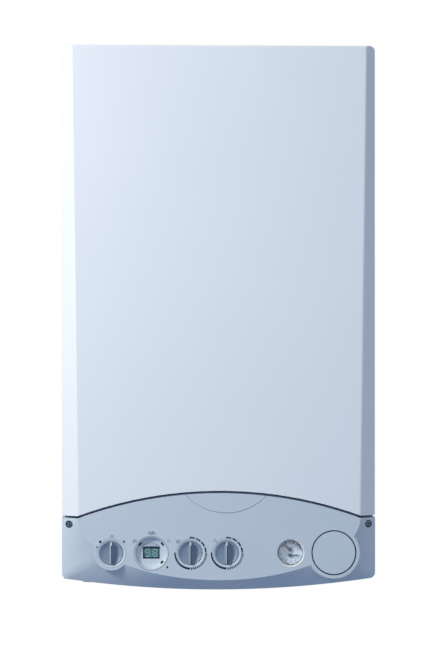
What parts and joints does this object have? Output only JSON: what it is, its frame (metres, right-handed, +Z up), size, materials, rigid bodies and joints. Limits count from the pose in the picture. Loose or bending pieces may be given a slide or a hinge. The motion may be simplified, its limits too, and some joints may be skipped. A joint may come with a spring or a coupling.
{
  "type": "wall-hung gas boiler",
  "caption": "Wall-hung gas boiler with a bevelled steel cover, a curved fold-down control fascia with knobs, display and gauge, and a fan-fed condensing heat exchanger inside.",
  "frame": {"origin": "centre of the wall bracket's bolt holes, on the wall plane", "axes": "+X right as seen from the front, +Y into the wall, +Z up"},
  "size_m": [0.44, 0.3494, 0.7895],
  "materials": {
    "case_paint": "smooth stoved enamel, bluish white",
    "fascia_plastic": "moulded, fine grain, pale blue grey",
    "knob_plastic": "moulded, grey blue",
    "dark_plastic": "moulded, black",
    "grey_plastic": "glass-filled, dark grey",
    "white_plastic": "extruded, white",
    "lcd": "dark display glass",
    "clear": "clear moulded lens",
    "dial_white": "printed dial",
    "pointer_black": "black lacquer",
    "zinc_steel": "zinc-plated sheet",
    "screw_steel": "blackened steel",
    "stainless": "stainless sheet and tube",
    "cast_alu": "sand-blasted casting",
    "pump_iron": "painted casting",
    "brass": "machined",
    "copper": "drawn tube",
    "rubber": "moulded",
    "vessel_red": "red enamel",
    "knob_red": "moulded, red",
    "ceramic": "glazed ceramic",
    "board_green": "lacquered laminate"
  },
  "bodies": {
    "case": {"left_side_panel": "case_paint", "right_side_panel": "case_paint", "top_panel": "case_paint", "back_plate": "zinc_steel", "bottom_tray": "zinc_steel", "wall_bracket": "zinc_steel", "wall_buffers": "rubber", "hinge_arms": "zinc_steel", "hinge_pins": "zinc_steel", "flue_collar": "cast_alu", "flue_pipe": "white_plastic", "exchanger_housing": "grey_plastic", "exchanger_coil": "stainless", "burner_door": "cast_alu", "burner": "stainless", "electrodes": "ceramic", "mixture_duct": "cast_alu", "fan_housing": "cast_alu", "fan_motor": "dark_plastic", "mixer": "grey_plastic", "gas_valve": "cast_alu", "gas_supply_pipe": "copper", "gas_mixer_pipe": "copper", "expansion_vessel": "vessel_red", "flow_manifold": "grey_plastic", "return_manifold": "grey_plastic", "diverter_motor": "white_plastic", "plate_exchanger": "stainless", "pump_body": "pump_iron", "pump_motor": "cast_alu", "flow_pipe": "copper", "return_pipe": "copper", "heating_tails": "brass", "hot_water_pipe": "copper", "cold_water_pipe": "copper", "relief_valve": "brass", "condensate_trap": "white_plastic", "condensate_hose": "rubber"},
    "control_panel": {"fascia": "fascia_plastic", "badge_plate": "fascia_plastic", "display_bezel": "fascia_plastic", "lcd_module": "lcd", "indicator_lights": "dark_plastic", "gauge_case": "dark_plastic", "gauge_dial": "dial_white", "gauge_lens": "clear", "clock_cover": "fascia_plastic", "panel_screws": "screw_steel", "control_box": "grey_plastic", "main_board": "board_green", "rotary_controls": "dark_plastic"},
    "front_cover": {"front_cover": "case_paint"},
    "selector_knob": {"selector_knob": "knob_plastic"},
    "heating_knob": {"heating_knob": "knob_plastic"},
    "hot_water_knob": {"hot_water_knob": "knob_plastic"},
    "info_button": {"info_button": "fascia_plastic"},
    "temperature_pointer": {"temperature_pointer": "pointer_black"},
    "pressure_pointer": {"pressure_pointer": "pointer_black"},
    "fan_impeller": {"fan_impeller": "cast_alu"},
    "relief_knob": {"relief_knob": "knob_red"}
  },
  "joints": [
    {"name": "control_panel_swing", "type": "hinge", "parent": "case", "child": "control_panel", "pos_m": [0, -0.281, -0.698], "axis": [1, 0, 0], "range_deg": [0, 90]},
    {"name": "front_cover_pull", "type": "slide", "parent": "case", "child": "front_cover", "axis": [0, -1, 0], "range_m": [0, 0.25]},
    {"name": "selector_knob_turn", "type": "hinge", "parent": "control_panel", "child": "selector_knob", "pos_m": [-0.1507, -0.345, -0.662], "axis": [0, 1, 0], "range_deg": [-65, 45]},
    {"name": "heating_knob_turn", "type": "hinge", "parent": "control_panel", "child": "heating_knob", "pos_m": [-0.0403, -0.345, -0.662], "axis": [0, 1, 0], "range_deg": [0, 270]},
    {"name": "hot_water_knob_turn", "type": "hinge", "parent": "control_panel", "child": "hot_water_knob", "pos_m": [0.0105, -0.345, -0.662], "axis": [0, 1, 0], "range_deg": [0, 270]},
    {"name": "info_button_press", "type": "slide", "parent": "control_panel", "child": "info_button", "axis": [0, 1, 0], "range_m": [0, 0.0012], "stiffness_N_per_m": 900, "springref_m": -0.0005},
    {"name": "temperature_pointer_turn", "type": "hinge", "parent": "control_panel", "child": "temperature_pointer", "pos_m": [0.0995, -0.333, -0.6584], "axis": [0, 1, 0], "range_deg": [-38, 142]},
    {"name": "pressure_pointer_turn", "type": "hinge", "parent": "control_panel", "child": "pressure_pointer", "pos_m": [0.0995, -0.333, -0.6662], "axis": [0, 1, 0], "range_deg": [0, 180]},
    {"name": "fan_spin", "type": "hinge", "parent": "case", "child": "fan_impeller", "pos_m": [0.057, -0.26, -0.065], "axis": [0, 1, 0], "continuous": true},
    {"name": "relief_knob_turn", "type": "hinge", "parent": "case", "child": "relief_knob", "pos_m": [0.13, -0.16, -0.643], "axis": [0, 1, 0], "range_deg": [0, 90]}
  ]
}
